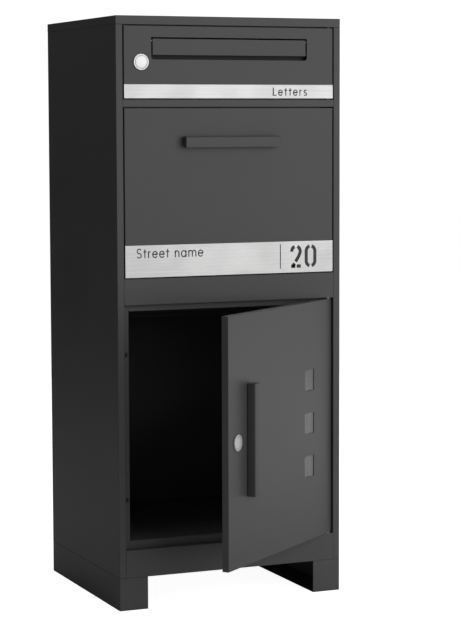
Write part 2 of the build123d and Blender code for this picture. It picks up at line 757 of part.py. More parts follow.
def hopper_wing():
    """Left hopper wing: flat plate with a round edge centred on the flap's pivot."""
    top = (door_back, flap_top - wing_margin)
    radius = math.hypot(top[0] - flap_pivot_y, top[1] - flap_pivot_z)
    first = math.degrees(math.atan2(top[1] - flap_pivot_z, top[0] - flap_pivot_y))

    def rim(angle):
        turn = math.radians(angle)
        return (flap_pivot_y + radius * math.cos(turn), flap_pivot_z + radius * math.sin(turn), 0)

    foot_point = (door_back, flap_bottom + tray_rise - tray_lip, 0)
    end = (*tray_point(tray_length, 0), 0)
    low = (*tray_point(tray_length, -tray_lip), 0)
    edges = [Edge.make_line(foot_point, (*top, 0)),
             Edge.make_three_point_arc(rim(first), rim((first + wing_back_angle) / 2), rim(wing_back_angle)),
             Edge.make_line(rim(wing_back_angle), end),
             Edge.make_line(end, low),
             Edge.make_line(low, foot_point)]
    plate = extrude(Plane.YZ * Face(Wire(edges)), sheet, dir=(1, 0, 0))
    return Pos(left + wing_inset, 0, 0) * plate


# ---- parcel door ----
def windows(margin, y):
    """Three square openings, grown by a margin, through a range of depths."""
    half = window_size / 2 + margin
    x = door_half - window_inset
    tools = []
    for step in (-1, 0, 1):
        z = parcel_middle_z - window_drop + step * window_pitch
        tools.append(slab((x - half, x + half), y, (z - half, z + half)))
    return tools


def parcel_door_skin():
    """Parcel door's tray with windows, lock hole, pin holes and handle-screw holes."""
    shape = cut_all(door_skin(parcel_bottom, parcel_top), windows(0, (front - past, front + sheet + past)))
    shape -= rod(barrel_radius, (lock_x, front - past, parcel_middle_z), (lock_x, door_back, parcel_middle_z))
    shape = cut_all(shape, door_pins(parcel_bottom, parcel_top))
    return cut_all(shape, [placed_on_door(s) for s in handle_screws(door_handle_length)])


def parcel_door_pan():
    """Parcel door's inner sheet, cut larger than the windows so that the pane shows."""
    shape = cut_all(door_pan(parcel_bottom, parcel_top), windows(pane_margin / 2, (front, door_back + past)))
    shape -= rod(barrel_radius, (lock_x, front, parcel_middle_z), (lock_x, door_back + past, parcel_middle_z))
    return cut_all(shape, [placed_on_door(s) for s in handle_screws(door_handle_length)])


def window_pane():
    """One smoked pane bonded behind all three windows."""
    half = window_size / 2 + pane_margin
    x = door_half - window_inset
    z = parcel_middle_z - window_drop
    tall = window_pitch + half
    return slab((x - half, x + half), (front + sheet, front + sheet + pane_thickness), (z - tall, z + tall))


# ---- build every piece ----
os.makedirs("parts", exist_ok=True)

save("left_side_panel", side_panel(True))
save("right_side_panel", mirrored(side_panel(False)))
save("roof_cap", roof_cap())
save("roof_screws", *roof_screws())
save("back_panel", back_panel())
save("back_rivets", *back_rivets())
save("base_panel", base_panel())
save("upper_rail", upper_rail())
save("middle_rail", middle_rail())
save("lower_rail", lower_rail())
save("top_stop_rail", top_stop_rail())
save("letter_shelf", letter_shelf())
save("baffle_plate", baffle_plate())
save("parcel_floor", parcel_floor())
save("left_foot", foot())
save("right_foot", mirrored(foot()))
save("foot_bolts", *foot_bolts())
save("foot_nuts", *foot_nuts())
save("hinge_bushes", *hinge_bushes())
save("door_buffers", *door_buffers())

save("letter_door_skin", letter_door_skin())
save("letter_door_pan", letter_door_pan())
save("letter_door_pins", *door_pins(letter_bottom, letter_top))
save("letter_strip", strip(letter_bottom, letter_bottom + letter_strip_height))
save("slot_frame", slot_frame())
save("slot_flap", slot_flap())
save("slot_flap_rod", slot_flap_rod())

save("parcel_flap_skin", parcel_flap_skin())
save("parcel_flap_pan", parcel_flap_pan())
save("parcel_flap_pins", *flap_pins())
save("address_strip", strip(flap_bottom, flap_bottom + address_strip_height))
save("hopper_tray", hopper_tray())
save("left_hopper_wing", hopper_wing())
save("right_hopper_wing", mirrored(hopper_wing()))
save("flap_handle", placed_on_flap(cut_all(handle(flap_handle_length), handle_screws(flap_handle_length))))
save("flap_handle_screws", *[placed_on_flap(s) for s in handle_screws(flap_handle_length)])

save("parcel_door_skin", opened(parcel_door_skin()))
save("parcel_door_pan", opened(parcel_door_pan()))
save("window_pane", opened(window_pane()))
save("parcel_door_pins", *[opened(p) for p in door_pins(parcel_bottom, parcel_top)])
door_handle = placed_on_door(cut_all(handle(door_handle_length), handle_screws(door_handle_length)))
save("door_handle", opened(door_handle))
save("door_handle_screws", *[opened(placed_on_door(s)) for s in handle_screws(door_handle_length)])

lock_pieces = {"lock_housing": lock_housing, "lock_nut": lock_nut, "lock_plug": lock_plug,
               "lock_cam": lock_cam, "cam_screw": cam_screw, "dust_cover": dust_cover}
for piece, make in lock_pieces.items():
    save(f"letter_{piece}", make(letter_lock_z))
    save(f"parcel_{piece}", opened(make(parcel_middle_z)))
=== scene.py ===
"""Looks of the parcel letterbox cabinet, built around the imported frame. All sizes are in metres."""

import json
import logging
import math
from dataclasses import dataclass, field
from enum import Enum
from typing import Callable, Dict, List, Sequence, Tuple

import bmesh
import bpy
import numpy as np
from mathutils import Matrix, Vector


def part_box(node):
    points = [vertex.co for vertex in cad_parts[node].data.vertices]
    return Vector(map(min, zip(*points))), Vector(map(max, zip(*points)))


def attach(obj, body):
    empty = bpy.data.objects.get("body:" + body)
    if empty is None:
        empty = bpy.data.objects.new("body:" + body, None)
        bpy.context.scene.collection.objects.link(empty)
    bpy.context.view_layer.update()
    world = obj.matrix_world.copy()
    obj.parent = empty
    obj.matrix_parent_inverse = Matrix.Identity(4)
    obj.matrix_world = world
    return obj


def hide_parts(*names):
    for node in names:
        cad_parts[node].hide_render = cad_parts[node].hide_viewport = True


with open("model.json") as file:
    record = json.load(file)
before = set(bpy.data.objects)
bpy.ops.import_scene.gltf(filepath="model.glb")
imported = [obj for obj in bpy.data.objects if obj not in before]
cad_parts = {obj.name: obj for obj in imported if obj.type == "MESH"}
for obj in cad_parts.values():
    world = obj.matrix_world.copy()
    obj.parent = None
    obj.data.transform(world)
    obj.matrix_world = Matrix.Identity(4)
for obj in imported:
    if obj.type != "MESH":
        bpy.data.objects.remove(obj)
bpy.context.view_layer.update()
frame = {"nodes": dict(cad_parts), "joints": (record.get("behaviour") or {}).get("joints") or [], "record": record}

NODES = frame["nodes"]
MM = 0.001
STILL = Matrix.Identity(4)
log = logging.getLogger("letterbox")

Array = np.ndarray
Node = bpy.types.Node
Socket = bpy.types.NodeSocket
Tree = bpy.types.NodeTree
Piece = bpy.types.Object
Sockets = bpy.types.bpy_prop_collection
Triple = Tuple[float, float, float]


class Body(Enum):
    """The rigid bodies that pieces ride on."""

    CABINET = "cabinet"
    LETTER_DOOR = "letter_door"
    SLOT_FLAP = "slot_flap"
    LETTER_LOCK = "letter_lock"
    LETTER_COVER = "letter_cover"
    PARCEL_FLAP = "parcel_flap"
    PARCEL_DOOR = "parcel_door"
    PARCEL_LOCK = "parcel_lock"
    PARCEL_COVER = "parcel_cover"


# ---------------------------------------------------------------- meshes


class Solid:
    """A mesh that is gathered from grids of points and then made into one object."""

    def __init__(self) -> None:
        """Start with no points."""
        self.points: List[Array] = []
        self.faces: List[Tuple[int, ...]] = []
        self.count = 0

    def grid(self, points: Array, close_rows: bool = False, close_columns: bool = False) -> "Solid":
        """Add a grid of quads.

        Args:
            points: array of shape (rows, columns, 3).
            close_rows: join the last row to the first.
            close_columns: join the last column to the first.

        Returns:
            This solid.
        """
        rows, columns = points.shape[:2]
        index = np.arange(rows * columns).reshape(rows, columns) + self.count
        if close_rows:
            index = np.vstack([index, index[:1]])
        if close_columns:
            index = np.hstack([index, index[:, :1]])
        quads = np.stack([index[:-1, :-1], index[:-1, 1:], index[1:, 1:], index[1:, :-1]], axis=-1)
        self.faces += [tuple(quad) for quad in quads.reshape(-1, 4).tolist()]
        self.points.append(points.reshape(-1, 3))
        self.count += rows * columns
        return self

    def cap(self, ring: Array) -> "Solid":
        """Add one face through a closed ring of points.

        Args:
            ring: array of shape (n, 3).

        Returns:
            This solid.
        """
        self.faces.append(tuple(range(self.count, self.count + len(ring))))
        self.points.append(ring)
        self.count += len(ring)
        return self

    def merge(self, faces: List[Tuple[int, ...]], points: Array) -> None:
        """Add faces that count from the first of their own points."""
        self.faces += [tuple(i + self.count for i in face) for face in faces]
        self.points.append(points)
        self.count += len(points)

    def prism(self, outline: Array, low: float, high: float, ease: float = 0.0) -> "Solid":
        """Run a closed (y, z) outline along X, with both ends closed and their edges eased.

        The end rings are the outline drawn in towards its own middle by the ease.

        Args:
            outline: array of shape (n, 2).
            low: where the prism starts along X.
            high: where it ends.
            ease: size of the chamfer at both ends.

        Returns:
            This solid.
        """
        middle = outline.mean(axis=0)
        reach = np.linalg.norm(outline - middle, axis=1, keepdims=True)
        small = middle + (outline - middle) * (1 - ease / reach)
        stations = [(low, small), (low + ease, outline), (high - ease, outline), (high, small)]
        rings = [np.column_stack([np.full(len(ring), x), ring]) for x, ring in stations]
        self.grid(np.stack(rings), close_columns=True)
        return self.cap(rings[0][::-1]).cap(rings[-1])

    def lathe(self, profile: Array, sides: int = 96, at: Sequence[float] = (0, 0, 0),
              closed: bool = False) -> "Solid":
        """Turn an (r, y) or (r, y, h) profile about the Y axis: x = r k cos a, z = r k sin a.

        The factor k draws a ring towards a hexagon by its share h:
        k = 1 - h + h cos 30 / cos(d), where d is the angle from the middle of the nearest flat.

        Args:
            profile: array of shape (n, 2) or (n, 3), from one end to the other.
            sides: how many steps make the full turn.
            at: where the axis stands.
            closed: join the profile's end to its start, as round a bore.

        Returns:
            This solid.
        """
        turn = np.linspace(0, 2 * np.pi, sides, endpoint=False)[:, None]
        share = profile[:, 2][None, :] if profile.shape[1] > 2 else np.zeros((1, len(profile)))
        off_flat = (turn % (np.pi / 3)) - np.pi / 6
        factor = 1 - share + share * math.cos(math.pi / 6) / np.cos(off_flat)
        radius, along = profile[:, 0][None, :] * factor, profile[:, 1][None, :]
        points = np.stack([radius * np.cos(turn), along + 0 * turn, radius * np.sin(turn)], axis=-1)
        return self.grid(points + np.asarray(at, float), close_rows=True, close_columns=closed)

    def make(self, name: str, place: Matrix, smooth_degrees: float = 35.0) -> Piece:
        """Weld the points, put the mesh in its place and make the object.

        Args:
            name: the object's name.
            place: where the mesh goes; the object itself stays at the origin.
            smooth_degrees: edges sharper than this stay crisp.

        Returns:
            The new object.
        """
        mesh = bpy.data.meshes.new(name)
        mesh.from_pydata(np.vstack(self.points).tolist(), [], self.faces)
        mesh.transform(place)
        work = bmesh.new()
        work.from_mesh(mesh)
        bmesh.ops.remove_doubles(work, verts=work.verts, dist=1e-6)
        bmesh.ops.dissolve_degenerate(work, edges=work.edges, dist=1e-7)
        bmesh.ops.recalc_face_normals(work, faces=work.faces)
        for edge in work.edges:
            edge.smooth = len(edge.link_faces) == 2 and edge.calc_face_angle(0.0) < math.radians(smooth_degrees)
        for face in work.faces:
            face.smooth = True
        work.to_mesh(mesh)
        work.free()
        piece = bpy.data.objects.new(name, mesh)
        bpy.context.scene.collection.objects.link(piece)
        return piece


def round_outline(corners: Sequence[Triple], steps: int = 6) -> Array:
    """Outline with an arc at each corner.

    A corner's arc touches both sides at radius * tan(half the turn) from the corner, and its points
    lie on the circle about the point where the two inset sides meet.

    Args:
        corners: (first axis, second axis, radius) for each corner, in order.
        steps: steps in each arc.

    Returns:
        Array of shape (n, 2).
    """
    spots = np.array([corner[:2] for corner in corners], float)
    outline: List[Array] = []
    for i, (_, _, radius) in enumerate(corners):
        here = spots[i]
        back = spots[i - 1] - here
        ahead = spots[(i + 1) % len(spots)] - here
        back, ahead = back / np.linalg.norm(back), ahead / np.linalg.norm(ahead)
        if radius <= 0:
            outline.append(here[None, :])
            continue
        half = math.acos(float(np.clip(back @ ahead, -1, 1))) / 2
        centre = here + (back + ahead) / np.linalg.norm(back + ahead) * radius / math.sin(half)
        start = here + back * radius / math.tan(half) - centre
        end = here + ahead * radius / math.tan(half) - centre
        first = math.atan2(start[1], start[0])
        sweep = (math.atan2(end[1], end[0]) - first + math.pi) % (2 * math.pi) - math.pi
        angles = first + sweep * np.linspace(0, 1, steps + 1)
        outline.append(centre + radius * np.column_stack([np.cos(angles), np.sin(angles)]))
    return np.vstack(outline)


def points_of(node: str) -> Array:
    """Points of a CAD node at rest, as an array of shape (n, 3)."""
    mesh = NODES[node].data
    points = np.empty(len(mesh.vertices) * 3)
    mesh.vertices.foreach_get("co", points)
    return points.reshape(-1, 3)


def joint(name: str) -> Dict:
    """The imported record's entry for one joint."""
    return next(entry for entry in frame["joints"] if entry["name"] == name)


def parcel_door_turn() -> Matrix:
    """Turn that takes the parcel door's pieces from shut to where they stand at rest."""
    hinge = joint("parcel_door_hinge")
    pivot = Matrix.Translation(Vector(hinge["pos_m"]))
    opened = Matrix.Rotation(math.radians(-hinge["range_deg"][0]), 4, "Z")
    return pivot @ opened @ pivot.inverted()


def shut_points(node: str, turn: Matrix) -> Array:
    """Points of a CAD node with its body's turn taken off.

    Args:
        node: the CAD node.
        turn: the turn that was put on it.

    Returns:
        Array of shape (n, 3).
    """
    back = np.array(turn.inverted())
    return points_of(node) @ back[:3, :3].T + back[:3, 3]


def shut_box(node: str, turn: Matrix) -> Tuple[Array, Array]:
    """Lowest and highest corners of a node with its body's turn taken off."""
    points = shut_points(node, turn)
    return points.min(axis=0), points.max(axis=0)


def rolled_rim(radius: float, ease: float, y: float, steps: int) -> Array:
    """Quarter circle that rounds an outer rim: r = R - e + e sin a, y = y0 + e (1 - cos a).

    Args:
        radius: the rim's radius.
        ease: the quarter circle's radius.
        y: where the face lies.
        steps: steps in the quarter.

    Returns:
        Array of (r, y) points from the face to the rim.
    """
    angle = np.linspace(0, np.pi / 2, steps + 1)
    return np.column_stack([radius - ease + ease * np.sin(angle), y + ease * (1 - np.cos(angle))])


# ---------------------------------------------------------------- shared shader effects


class Wiring:
    """Adds and joins nodes in one shader tree."""

    def __init__(self, tree: Tree) -> None:
        """Take the tree to work in."""
        self.tree = tree

    def add(self, kind: str, **settings: object) -> Node:
        """Add a node and set its properties."""
        node = self.tree.nodes.new(kind)
        for key, value in settings.items():
            setattr(node, key, value)
        return node

    def find(self, kind: str) -> Node:
        """The tree's first node of a kind."""
        return next(node for node in self.tree.nodes if node.type == kind)

    def join(self, source: object, target: Socket) -> None:
        """Join an output to an input, or set the input to a plain value."""
        if isinstance(source, Socket):
            self.tree.links.new(source, target)
        else:
            target.default_value = source

    def fill(self, node: Node, inputs: Dict[str, object]) -> Node:
        """Join or set a node's inputs by name."""
        for key, source in inputs.items():
            self.join(source, node.inputs[key])
        return node

    def math(self, operation: str, first: object, second: object = 0.0, clamp: bool = False) -> Socket:
        """Add a maths node; each operand is a socket or a number.

        Args:
            operation: the node's operation.
            first: first operand.
            second: second operand.
            clamp: keep the result between 0 and 1.

        Returns:
            The result.
        """
        node = self.add("ShaderNodeMath", operation=operation, use_clamp=clamp)
        self.join(first, node.inputs[0])
        self.join(second, node.inputs[1])
        return node.outputs[0]

    def scaled(self, value: Socket, factor: float, base: object) -> Socket:
        """A value times a factor, added to a base."""
        return self.math("ADD", self.math("MULTIPLY", value, factor), base)

    def noise(self, vector: Socket, scale: object, detail: float = 3.0, roughness: float = 0.5) -> Socket:
        """Add a noise texture.

        Args:
            vector: where it is read.
            scale: how many features there are to the metre, a number or a socket.
            detail: how many finer layers it has.
            roughness: how strong the finer layers are.

        Returns:
            Its value.
        """
        node = self.fill(self.add("ShaderNodeTexNoise"), {
            "Vector": vector, "Scale": scale, "Detail": detail, "Roughness": roughness})
        return node.outputs["Fac"]

    def span(self, value: Socket, low: float, high: float, to_low: float = 0.0, to_high: float = 1.0) -> Socket:
        """Map a value from one range to another, smoothly and clamped.

        Args:
            value: the value.
            low: start of the range it is read in.
            high: end of that range.
            to_low: result at the start.
            to_high: result at the end.

        Returns:
            The mapped value.
        """
        node = self.fill(self.add("ShaderNodeMapRange", interpolation_type="SMOOTHSTEP"), {
            "Value": value, "From Min": low, "From Max": high, "To Min": to_low, "To Max": to_high})
        return node.outputs["Result"]

    def stretched(self, scale: Triple = (1, 1, 1)) -> Socket:
        """Object coordinates stretched by a factor along each axis."""
        place = self.add("ShaderNodeTexCoord").outputs["Object"]
        return self.fill(self.add("ShaderNodeMapping"), {"Vector": place, "Scale": scale}).outputs["Vector"]

    def blend(self, share: Socket, first: object, second: object) -> Socket:
        """Mix two colours by a share; each is a socket or a colour.

        Args:
            share: 0 gives the first, 1 the second.
            first: first colour.
            second: second colour.

        Returns:
            The mixed colour.
        """
        node = self.add("ShaderNodeMix", data_type="RGBA")
        self.join(share, node.inputs["Factor"])
        for key, value in (("A", first), ("B", second)):
            socket = next(s for s in node.inputs if s.name == key and s.type == "RGBA")
            self.join((*value, 1.0) if isinstance(value, tuple) else value, socket)
        return next(s for s in node.outputs if s.type == "RGBA")


def coat_grain(w: Wiring, given: Sockets) -> Dict[str, Socket]:
    """Fine orange peel of a powder coat: a small even grain over a slow waviness, with a slow change of tone."""
    place = w.stretched()
    wave = w.math("MULTIPLY", w.noise(place, given["Wave"], 2.0), 0.4)
    return {"Height": w.scaled(w.noise(place, given["Grain"], 2.0, 0.6), 0.6, wave),
            "Tone": w.span(w.noise(place, 5.0, 4.0, 0.6), 0.3, 0.7)}


def edge_wear(w: Wiring, given: Sockets) -> Dict[str, Socket]:
    """Eased normal, and where it leaves the true one, a broken line of wear along the edge."""
    eased = w.fill(w.add("ShaderNodeBevel", samples=4), {"Radius": 0.7 * MM}).outputs["Normal"]
    dot = w.add("ShaderNodeVectorMath", operation="DOT_PRODUCT")
    w.join(eased, dot.inputs[0])
    w.join(w.add("ShaderNodeNewGeometry").outputs["True Normal"], dot.inputs[1])
    bend = w.math("SUBTRACT", 1.0, dot.outputs["Value"])
    broken = w.span(w.noise(w.stretched(), given["Break"], 5.0, 0.7), 0.45, 0.72)
    return {"Normal": eased, "Wear": w.math("MULTIPLY", w.span(bend, 0.03, 0.25), broken, clamp=True)}


def settled_dust(w: Wiring, given: Sockets) -> Dict[str, Socket]:
    """Dust that settles in patches on whatever faces up."""
    facing = w.add("ShaderNodeSeparateXYZ")
    w.join(w.add("ShaderNodeNewGeometry").outputs["True Normal"], facing.inputs[0])
    patch = w.span(w.noise(w.stretched(), given["Patch"], 6.0, 0.65), 0.35, 0.75)
    return {"Dust": w.math("MULTIPLY", w.span(facing.outputs["Z"], 0.6, 1.0), patch, clamp=True)}


def brush_lines(w: Wiring, given: Sockets) -> Dict[str, Socket]:
    """Lines of a sheet brushed along X: noise drawn out along the strokes, in a fine and a coarse layer."""
    fine = w.noise(w.stretched((14, 900, 2600)), given["Fine"], 4.0, 0.7)
    coarse = w.noise(w.stretched((3, 200, 520)), given["Coarse"], 3.0, 0.6)
    both = w.scaled(fine, 0.65, w.math("MULTIPLY", coarse, 0.35))
    return {"Height": both, "Tone": w.span(both, 0.3, 0.7),
            "Gloss": w.span(w.noise(w.stretched(), 18.0, 4.0), 0.3, 0.7)}


def shared_group(effect: Callable[[Wiring, Sockets], Dict[str, Socket]], **inputs: float) -> Tree:
    """Make the node group of a shared effect.

    Args:
        effect: gives the output sockets from the wiring and the group's own inputs.
        inputs: number inputs and their defaults.

    Returns:
        The group's tree.
    """
    tree = bpy.data.node_groups.new(effect.__name__, "ShaderNodeTree")
    for key, value in inputs.items():
        tree.interface.new_socket(key, in_out="INPUT", socket_type="NodeSocketFloat").default_value = value
    w = Wiring(tree)
    made = effect(w, w.add("NodeGroupInput").outputs)
    for key in made:
        kind = "NodeSocketVector" if key == "Normal" else "NodeSocketFloat"
        tree.interface.new_socket(key, in_out="OUTPUT", socket_type=kind)
    w.fill(w.add("NodeGroupOutput"), made)
    return tree


GROUPS: Dict[str, Tree] = {
    "grain": shared_group(coat_grain, Grain=900.0, Wave=60.0), "wear": shared_group(edge_wear, Break=240.0),
    "dust": shared_group(settled_dust, Patch=14.0), "brush": shared_group(brush_lines, Fine=1.0, Coarse=1.0)}


# ---------------------------------------------------------------- finishes


@dataclass(frozen=True)
class Finish:
    """A surface finish; each kind dresses the Principled shader in its own way."""

    name: str
    slot: str

    def material(self) -> bpy.types.Material:
        """The finish's material, made on first use."""
        made = bpy.data.materials.get(self.name)
        if made:
            return made
        made = bpy.data.materials.new(self.name)
        made.use_nodes = True
        w = Wiring(made.node_tree)
        w.fill(w.find("BSDF_PRINCIPLED"), self.wire(w))
        return made

    def wire(self, w: Wiring) -> Dict[str, object]:
        """The shader's inputs: the effects' sockets and plain values."""
        raise NotImplementedError

    @staticmethod
    def group(w: Wiring, key: str, **values: float) -> Sockets:
        """Outputs of a shared effect that is placed with its own values."""
        return w.fill(w.add("ShaderNodeGroup", node_tree=GROUPS[key]), values).outputs

    @staticmethod
    def bump(w: Wiring, height: Socket, distance: float, strength: float, normal: Socket = None) -> Socket:
        """Bump from a height.

        Args:
            height: the height.
            distance: how far a full height stands out.
            strength: how much of it shows.
            normal: the normal that it starts from.

        Returns:
            The bumped normal.
        """
        node = w.fill(w.add("ShaderNodeBump"), {"Distance": distance, "Strength": strength, "Height": height})
        if normal is not None:
            w.join(normal, node.inputs["Normal"])
        return node.outputs["Normal"]


@dataclass(frozen=True)
class PowderCoat(Finish):
    """Fine matt powder coat with slight orange peel, worn thin along its edges."""

    colour: Triple = (0.077, 0.077, 0.078)
    worn: Triple = (0.15, 0.15, 0.152)
    dusty: Triple = (0.15, 0.148, 0.142)
    roughness: float = 0.46
    dust: float = 0.25
    tone: float = 0.07

    def wire(self, w: Wiring) -> Dict[str, object]:
        """Grain, tone, wear and dust."""
        grain, wear, dust = self.group(w, "grain"), self.group(w, "wear"), self.group(w, "dust")
        deep, light = (tuple(share * c for c in self.colour) for share in (1 - self.tone, 1 + self.tone))
        colour = w.blend(grain["Tone"], deep, light)
        colour = w.blend(w.math("MULTIPLY", wear["Wear"], 0.35), colour, self.worn)
        colour = w.blend(w.math("MULTIPLY", dust["Dust"], self.dust), colour, self.dusty)
        rough = w.scaled(dust["Dust"], 0.15, w.scaled(grain["Tone"], 0.05, self.roughness))
        return {"Base Color": colour, "Roughness": rough,
                "Normal": self.bump(w, grain["Height"], 0.12 * MM, 0.35, wear["Normal"])}


@dataclass(frozen=True)
class BrushedSheet(Finish):
    """Stainless sheet brushed along its length."""

    dark: Triple = (0.46, 0.46, 0.46)
    light: Triple = (0.67, 0.67, 0.665)
    roughness: float = 0.34

    def wire(self, w: Wiring) -> Dict[str, object]:
        """Brush lines and wear."""
        brush, wear = self.group(w, "brush"), self.group(w, "wear")
        lines = w.scaled(brush["Tone"], 0.10, self.roughness)
        return {"Metallic": 1.0, "Anisotropic": 0.55, "Base Color": w.blend(brush["Tone"], self.dark, self.light),
                "Roughness": w.scaled(brush["Gloss"], 0.05, lines),
                "Normal": self.bump(w, brush["Height"], 0.05 * MM, 0.35, wear["Normal"])}


@dataclass(frozen=True)
class PlatedMetal(Finish):
    """Bright or satin plating with faint clouding and worn edges."""

    colour: Triple = (0.80, 0.80, 0.79)
    cloud: Triple = (0.68, 0.68, 0.67)
    roughness: float = 0.25
    spread: float = 0.12
    grain: float = 300.0

    def wire(self, w: Wiring) -> Dict[str, object]:
        """Clouding and eased edges."""
        grain, wear = self.group(w, "grain", Grain=self.grain, Wave=120.0), self.group(w, "wear", Break=500.0)
        return {"Metallic": 1.0, "Base Color": w.blend(grain["Tone"], self.cloud, self.colour),
                "Roughness": w.scaled(grain["Height"], self.spread, self.roughness),
                "Normal": self.bump(w, grain["Height"], 0.03 * MM, 0.2, wear["Normal"])}


@dataclass(frozen=True)
class Moulded(Finish):
    """Plastic or rubber with a fine moulded texture."""

    colour: Triple = (0.012, 0.012, 0.012)
    pale: Triple = (0.03, 0.03, 0.03)
    dusty: Triple = (0.1, 0.1, 0.095)
    roughness: float = 0.55

    def wire(self, w: Wiring) -> Dict[str, object]:
        """The texture and a little dust."""
        grain, dust = self.group(w, "grain", Grain=1500.0, Wave=200.0), self.group(w, "dust", Patch=40.0)
        colour = w.blend(grain["Tone"], self.colour, self.pale)
        return {"Base Color": w.blend(w.math("MULTIPLY", dust["Dust"], 0.2), colour, self.dusty),
                "Roughness": w.scaled(grain["Height"], 0.2, self.roughness),
                "Normal": self.bump(w, grain["Height"], 0.08 * MM, 0.5)}


@dataclass(frozen=True)
class SmokedSheet(Finish):
    """Satin smoked plastic sheet that lets a little light through."""

    deep: Triple = (0.09, 0.09, 0.092)
    pale: Triple = (0.135, 0.135, 0.138)
    roughness: float = 0.30

    def wire(self, w: Wiring) -> Dict[str, object]:
        """A slow change of tone and fine scratches."""
        grain, brush = self.group(w, "grain", Grain=700.0, Wave=40.0), self.group(w, "brush")
        return {"Coat Weight": 0.4, "Base Color": w.blend(grain["Tone"], self.deep, self.pale),
                "Roughness": w.scaled(brush["Tone"], 0.08, self.roughness),
                "Normal": self.bump(w, grain["Height"], 0.03 * MM, 0.2)}


@dataclass(frozen=True)
class Ink(Finish):
    """Matt print with a faint mottle."""

    colour: Triple = (0.018, 0.018, 0.019)
    thin: Triple = (0.035, 0.035, 0.036)
    roughness: float = 0.45

    def wire(self, w: Wiring) -> Dict[str, object]:
        """A faint mottle."""
        grain = self.group(w, "grain", Grain=1800.0, Wave=300.0)
        return {"Base Color": w.blend(grain["Height"], self.colour, self.thin),
                "Roughness": w.scaled(grain["Height"], 0.2, self.roughness),
                "Normal": self.bump(w, grain["Height"], 0.02 * MM, 0.3)}


ANTHRACITE = PowderCoat("anthracite_powder_coat", "anthracite_steel")
STAINLESS = BrushedSheet("brushed_stainless_strip", "brushed_stainless")
CHROME = PlatedMetal("satin_chrome", "chrome_lock", colour=(0.62, 0.62, 0.615), cloud=(0.50, 0.50, 0.495),
                     roughness=0.30)
ZINC = PlatedMetal("zinc_plate", "zinc_steel", colour=(0.62, 0.62, 0.60), cloud=(0.45, 0.45, 0.43), roughness=0.34)
BLACK_PLASTIC = Moulded("black_plastic", "black_plastic")
RUBBER = Moulded("black_rubber", "black_rubber", colour=(0.01, 0.01, 0.01), roughness=0.7)
SMOKED = SmokedSheet("smoked_pane", "smoked_pane")
PRINT = Ink("black_print", "brushed_stainless")
NUMBER = Ink("number_print", "brushed_stainless", colour=(0.035, 0.035, 0.035), thin=(0.055, 0.055, 0.055))
FINISH_OF_SLOT: Dict[str, Finish] = {
    finish.slot: finish for finish in (ANTHRACITE, STAINLESS, CHROME, ZINC, BLACK_PLASTIC, RUBBER, SMOKED)}


def dress(piece: Piece, finish: Finish) -> None:
    """Give an object one finish all over."""
    piece.data.materials.clear()
    piece.data.materials.append(finish.material())


def place(piece: Piece, finish: Finish, body: Body, *replaced: str) -> Piece:
    """Dress a new piece and body, and hide the nodes it stands for.

    Args:
        piece: the new object.
        finish: what it is finished in.
        body: what it rides on.
        replaced: CAD nodes that it stands for.

    Returns:
        The piece.
    """
    dress(piece, finish)
    if replaced:
        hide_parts(*replaced)
    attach(piece, body.value)
    log.info("%s: %d faces on %s", piece.name, len(piece.data.polygons), body.value)
    return piece


def dress_cad_nodes() -> None:
    """Give every carried-over CAD node the finish of its slot."""
    for entry in frame["record"]["subparts"]:
        dress(NODES[entry["node"]], FINISH_OF_SLOT[entry["material_slot"]])
        log.info("%s: %s", entry["node"], entry["material_slot"])


# ---------------------------------------------------------------- sub-assemblies


@dataclass
class Handle:
    """Folded grip: a face, a closed side and a foot flange, with round-cornered end plates."""

    node: str
    body: Body
    turn: Matrix
    upright: bool
    wall: float = 1.5 * MM
    bend: float = 2.4 * MM
    corner: float = 8.0 * MM
    ease: float = 0.3 * MM

    def build(self) -> Piece:
        """Sweep the folded section along the grip and close its ends.

        The section is an open-sided channel whose bends are arcs: outside radius bend, inside radius
        bend less the wall.

        Returns:
            The handle.
        """
        low, high = shut_box(self.node, self.turn)
        length, tall = (high[2] - low[2], high[0] - low[0]) if self.upright else (high[0] - low[0], high[2] - low[2])
        depth, half, up = high[1] - low[1], length / 2, tall / 2
        inner = self.bend - self.wall
        foot = up - (tall - self.corner)
        section = round_outline([
            (0, foot, 0), (0, up, self.bend), (-depth, up, self.bend), (-depth, -up, 0),
            (-depth + self.wall, -up, 0), (-depth + self.wall, up - self.wall, inner),
            (-self.wall, up - self.wall, inner), (-self.wall, foot, 0)])
        plate = round_outline([
            (-self.ease, up - self.ease, self.bend), (-depth + self.ease, up - self.ease, self.bend),
            (-depth + self.ease, -up + self.ease, self.bend), (-self.ease, -up + self.ease, self.corner)])
        solid = Solid().prism(section, -half + self.wall / 2, half - self.wall / 2)
        for start in (-half, half - self.wall):
            solid.prism(plate, start, start + self.wall, self.ease)
        middle = Vector(((low[0] + high[0]) / 2, high[1], (low[2] + high[2]) / 2))
        stand = Matrix.Rotation(math.radians(-90), 4, "Y") if self.upright else STILL
        piece = solid.make(f"{self.node}_grip", self.turn @ Matrix.Translation(middle) @ stand)
        return place(piece, ANTHRACITE, self.body, self.node)


